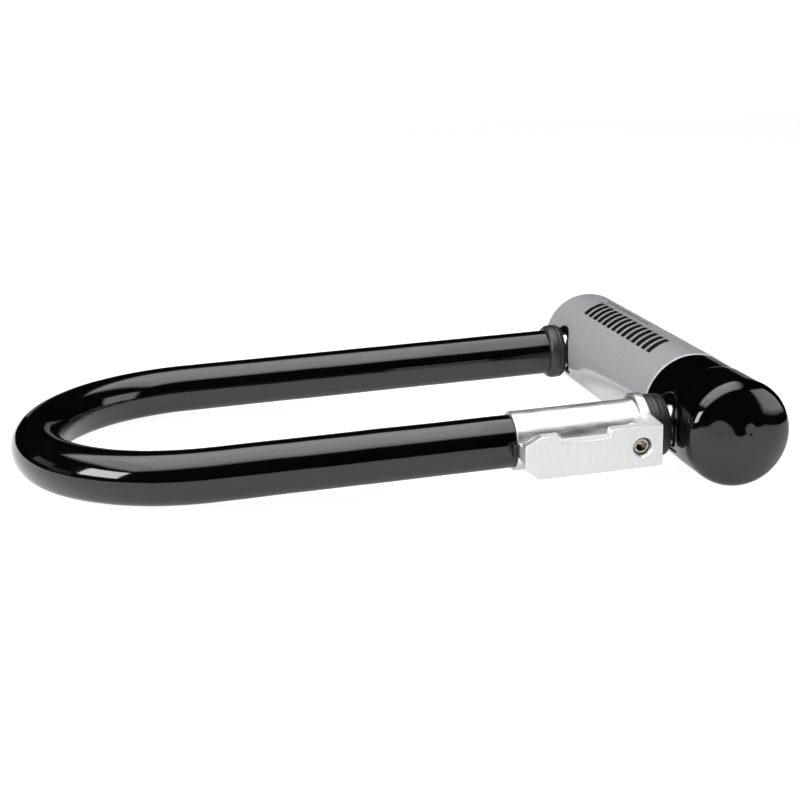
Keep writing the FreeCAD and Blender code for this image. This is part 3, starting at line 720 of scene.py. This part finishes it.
tube_prof = [(CX0, 7.0), (CX0, 8.6)] + [(CX0 + 0.2 * (1 - math.cos(t)), 8.6 + 0.2 * math.sin(t)) for t in (0.5, 1.0, math.pi / 2)]
tube_prof += [(-60.0, 8.8), (-50.0, 8.8), (-40.0, 8.8), (-30.0, 8.8), (FX0 - 1.1, 8.8)]
tube_prof += [(FX0 - 1.1 + 1.1 * math.sin(t), 8.8 + 1.1 * (1 - math.cos(t))) for t in (0.3, 0.6, 0.9, 1.2)]
tube_prof += [(FX0, 9.9)] + [(FX0 + 0.5 * (1 - math.cos(t)), 9.9 + 0.5 * math.sin(t)) for t in (0.5, 1.0, math.pi / 2)]
tube_prof += [(CX1 - 0.6, 10.4)] + [(CX1 - 0.6 + 0.6 * math.sin(t), 10.4 - 0.6 * (1 - math.cos(t))) for t in (0.4, 0.8, 1.2, math.pi / 2)] + [(CX1, 7.0)]
bracket = revolve("carriage_extrusion", tube_prof, 128, "X", closed=True)

outline = rounded([(-64.8, -3.3, 0.5), (-60.8, -PH, 0.6), (CX1, -PH, 0.35), (CX1, PH, 0.35), (-38.9, PH, 0.2),
                   (-39.6, 3.95, 0.35), (-53.9, 3.95, 0.35), (-54.1, PH, 0.9), (-59.9, PH, 0.5), (-64.8, 4.05, 0.5)])
plate = slab("plate", outline, -FACE, -FACE + THICK, 0.22)
wall = slab("wall", rounded([(FX0 - 1.2, -PH + 0.02, 0.3), (CX1 - 0.01, -PH + 0.02, 0.3), (CX1 - 0.01, PH - 0.02, 0.3), (FX0 - 1.2, PH - 0.02, 0.3)]), -FACE + 0.6, -1.0, 0.0)
web = slab("web", rounded([(CX0 + 0.02, -2.2, 0.2), (CX1 - 0.3, -2.2, 0.2), (CX1 - 0.3, 2.2, 0.2), (CX0 + 0.02, 2.2, 0.2)]), -FACE + 0.7, -7.2, 0.0)
boss = revolve("boss", [(-FACE + 0.65, 0.0), (-FACE + 0.65, 4.3), (-7.0, 4.3), (-7.0, 0.0)], 72, "Y", (SX, 0, 0))
for part in (plate, wall, web, boss):
    boolean(bracket, part, "UNION")
bore = revolve("bore", [(CX0 - 2, 0.0), (CX0 - 2, 7.95), (CX1 + 2, 7.95), (CX1 + 2, 0.0)], 112, "X")
boolean(bracket, bore, "DIFFERENCE")
key = slab("key", [(CX0 - 1, -2.0), (-25.0, -2.0), (-25.0, 2.0), (CX0 - 1, 2.0)], -9.5, -5.0, 0)
boolean(bracket, key, "DIFFERENCE")

# threaded hole
hole_rows, hole_n = [], 64
y = -FACE - 0.6
while y < -6.5:
    hole_rows.append(y)
    y += 0.125
verts = []
for y in hole_rows:
    for k in range(hole_n):
        t = 2 * math.pi * k / hole_n
        ph = ((y + 20.0) / 1.0 + k / hole_n) % 1.0
        r = 2.62 + 0.30 * (1 - abs(2 * ph - 1))
        if y < -FACE + 0.35:
            r = 2.78 + 0.28 * max(0.0, (-FACE + 0.35 - y) / 0.35)
        verts.append((SX + r * math.cos(t), y, r * math.sin(t)))
faces = grid_faces(len(hole_rows), hole_n)
faces += [tuple(range(hole_n)), tuple(range(len(verts) - 1, len(verts) - hole_n - 1, -1))]
thread = fix_normals(raw("thread", verts, faces))
boolean(bracket, thread, "DIFFERENCE")
finish(bracket, "carriage", ALU, ["carriage_bracket"], SWIVEL, sharp=28, planes=True)
bracket.data.materials.append(MILLED)
for f in bracket.data.polygons:
    if not f.use_smooth:
        f.material_index = 1

# set screw
ya, yb = -FACE + 1.3, -10.05
rows, nn = [], 60
verts = []
y = ya
rows.append((ya, 2.05))
rows.append((ya + 0.12, 2.3))
y = ya + 0.3
while y < yb:
    rows.append((y, None))
    y += 0.125
rows.append((yb + 0.55, 2.0))
for y, r0 in rows:
    for k in range(nn):
        t = 2 * math.pi * k / nn
        ph = ((y + 20.0) / 1.0 + k / nn) % 1.0
        r = r0 if r0 is not None else min(2.3 + 0.27 * (1 - abs(2 * ph - 1)), 2.3 + (y - ya) * 0.9)
        verts.append((SX + r * math.cos(t), y, r * math.sin(t)))
faces = grid_faces(len(rows), nn)
faces += [tuple(range(nn)), tuple(range(len(verts) - 1, len(verts) - nn - 1, -1))]
screw = fix_normals(raw("set_screw_threaded", verts, faces))
hx = 3.1 / math.sqrt(3.0)
turned = math.radians(14)
hexa = [(SX + hx * math.cos(math.radians(60 * k) + turned), hx * math.sin(math.radians(60 * k) + turned)) for k in range(6)]
socket = slab("socket", hexa, ya - 1.0, ya + 2.2, 0)
boolean(screw, socket, "DIFFERENCE")
cone = revolve("cone", [(ya + 1.9, 0.0), (ya + 1.9, 1.48), (ya + 2.75, 0.0)], 48, "Y", (SX, 0, 0))
boolean(screw, cone, "DIFFERENCE")
finish(screw, "carriage_screw", SCREW, ["carriage_set_screw"], SWIVEL, sharp=30, planes=True)

# clamp shim: a strip with rounded edges whose end shows past the carriage
shim = slab("clamp_shim_strip", rounded([(-66.0, -1.9, 0.5), (-25.3, -1.9, 0.3), (-25.3, 1.9, 0.3), (-66.0, 1.9, 0.5)]), -9.4, -5.0, 0.2)
bore = revolve("bore", [(-70, 0.0), (-70, 7.94), (-20, 7.94), (-20, 0.0)], 112, "X")
boolean(shim, bore, "DIFFERENCE")
finish(shim, "carriage", NYLON, ["carriage_clamp_shim"], SWIVEL, sharp=35, planes=True)


# ---------------------------------------------------------------------------
# floor, lights, camera
# ---------------------------------------------------------------------------
def plain(name, color, rough):
    m, nt, b = material(name, color, rough)
    f = noise_tex(nt, coords(nt), 40.0, 2.0)
    nt.links.new(ramp(nt, f, [(0.3, tuple(c * 0.985 for c in color)), (0.7, color)]), b.inputs["Base Color"])
    b.inputs["Specular IOR Level"].default_value = 0.0
    return m


def sheet(name, x0, x1, y0, y1, z, mat):
    o = raw(name, [(x0, y0, z), (x1, y0, z), (x1, y1, z), (x0, y1, z)], [(0, 1, 2, 3)])
    o.data.materials.append(mat)
    return o


PALE = plain("floor_pale", (0.64, 0.64, 0.64), 0.9)
WHITE = plain("floor_high_key", (0.25, 0.25, 0.25), 0.9)
for _m, _e in ((PALE, 0.45), (WHITE, 0.955)):
    _m.node_tree.nodes["Principled BSDF"].inputs["Emission Color"].default_value = (1, 1, 1, 1)
    _m.node_tree.nodes["Principled BSDF"].inputs["Emission Strength"].default_value = _e
lit = sheet("floor_lit", -0.40, 0.34, -0.60, 0.36, -0.0002, PALE)
lit.visible_camera = False
lit.visible_shadow = False
seen = sheet("floor_seen", -0.80, 0.80, -0.90, 1.20, -0.0001, WHITE)
seen.visible_glossy = False
seen.visible_diffuse = False
seen.visible_shadow = False


def area(name, loc, target, size, power, size_y=None, color=(1, 1, 1), spread=180):
    d = bpy.data.lights.new(name, "AREA")
    d.shape = "RECTANGLE"
    d.size, d.size_y = size, size_y or size
    d.energy = power
    d.color = color
    d.spread = math.radians(spread)
    o = bpy.data.objects.new(name, d)
    scene.collection.objects.link(o)
    o.location = loc
    o.rotation_euler = (Vector(target) - Vector(loc)).to_track_quat("-Z", "Y").to_euler()
    o.visible_camera = False
    return o


def radiance_power(radiance, w, h):
    """Blender's area light power for an emitted radiance."""
    return radiance * math.pi * w * h


# overhead softbox: nested sheets make its edge fade; a small one camera-left, a large one right
for k in range(6):
    grow = 0.88 + 0.05 * k
    area("softbox_%d" % k, (-0.15, -0.025, 0.60 + 0.001 * k), (-0.15, -0.025, 0.0), 0.90 * grow, radiance_power(3.7 / 6, 0.90 * grow, 0.85 * grow), 0.85 * grow)
area("softbox_core", (-0.10, -0.04, 0.61), (-0.10, -0.04, 0.0), 0.50, radiance_power(0.9, 0.50, 0.50), 0.50)
area("strip_left", (-0.60, -0.26, 0.265), (0.0, 0.0, 0.0), 0.30, radiance_power(13.0, 0.30, 0.26), 0.26)
for k in range(3):
    grow = 0.9 + 0.1 * k
    area("side_right_%d" % k, (0.74, -0.335, 0.30 - 0.001 * k), (0.09, -0.07, 0.02), 0.56 * grow, radiance_power(3.0 / 3, 0.56 * grow, 0.46 * grow), 0.46 * grow)

# two faint cards camera-left, low down
area("left_card", (-0.715, 0.235, 0.180), (-0.10, -0.03, 0.012), 0.23, radiance_power(0.50, 0.23, 0.15), 0.15)
area("left_card_low", (-0.765, 0.020, 0.105), (-0.10, -0.03, 0.012), 0.22, radiance_power(0.26, 0.22, 0.12), 0.12)
area("back_card", (0.55, 1.5, 0.12), (0.55, 0.0, 0.12), 1.9, radiance_power(0.26, 1.9, 0.24), 0.24)

world = bpy.data.worlds.new("studio")
scene.world = world
world.use_nodes = True
bg = world.node_tree.nodes["Background"]
bg.inputs["Color"].default_value = (1, 1, 1, 1)
bg.inputs["Strength"].default_value = 1.25
world.cycles_visibility.glossy = False
world.cycles_visibility.diffuse = False
world.cycles_visibility.scatter = False
world.cycles_visibility.transmission = False

scene.view_settings.view_transform = "Standard"
scene.view_settings.look = "None"

cam_data = bpy.data.cameras.new("camera")
cam = bpy.data.objects.new("camera", cam_data)
scene.collection.objects.link(cam)
cam_data.sensor_width = 36.0
cam_data.lens = 1448.0 * 36.0 / 800.0
cam_data.clip_end = 60.0
yaw, pitch, roll = math.radians(11.564), math.radians(-15.876), math.radians(-2.84)
fw = Vector((math.sin(yaw) * math.cos(pitch), math.cos(yaw) * math.cos(pitch), math.sin(pitch)))
ri = fw.cross(Vector((0, 0, 1))).normalized()
up = ri.cross(fw)
ri, up = ri * math.cos(roll) + up * math.sin(roll), up * math.cos(roll) - ri * math.sin(roll)
place = TO_ROW @ Vector((-177.22, -441.73, 130.05))
basis = Matrix((ri, up, -fw)).transposed()
cam.matrix_world = Matrix.Translation(place) @ (TURN @ basis).to_4x4()
scene.camera = cam
